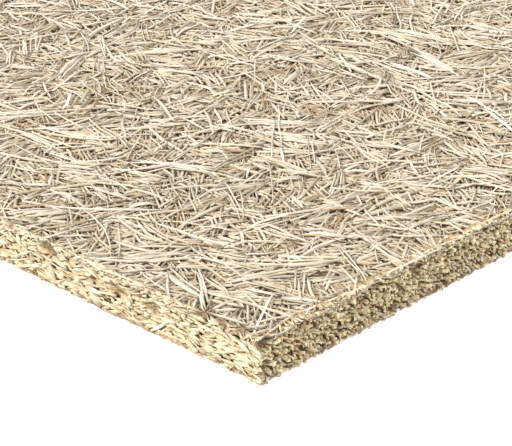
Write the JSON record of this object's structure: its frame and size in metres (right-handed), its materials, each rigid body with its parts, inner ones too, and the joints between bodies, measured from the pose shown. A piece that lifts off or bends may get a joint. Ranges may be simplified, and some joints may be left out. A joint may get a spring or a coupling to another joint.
{
  "type": "wood wool building panel",
  "caption": "Square flat panel pressed from long bonded wood strands, with an open strand mat on both faces, two moulded sides and two sawn sides.",
  "frame": {"origin": "under the middle of the panel, in the plane of its back face", "axes": "+Z out of the front face; X runs from one moulded side to the other, Y from one sawn side to the other"},
  "size_m": [0.6, 0.6, 0.025],
  "materials": {
    "wood_wool": "matt raw wood strands, pale straw with darker gaps"
  },
  "bodies": {
    "root": {"panel": "wood_wool"}
  },
  "joints": []
}
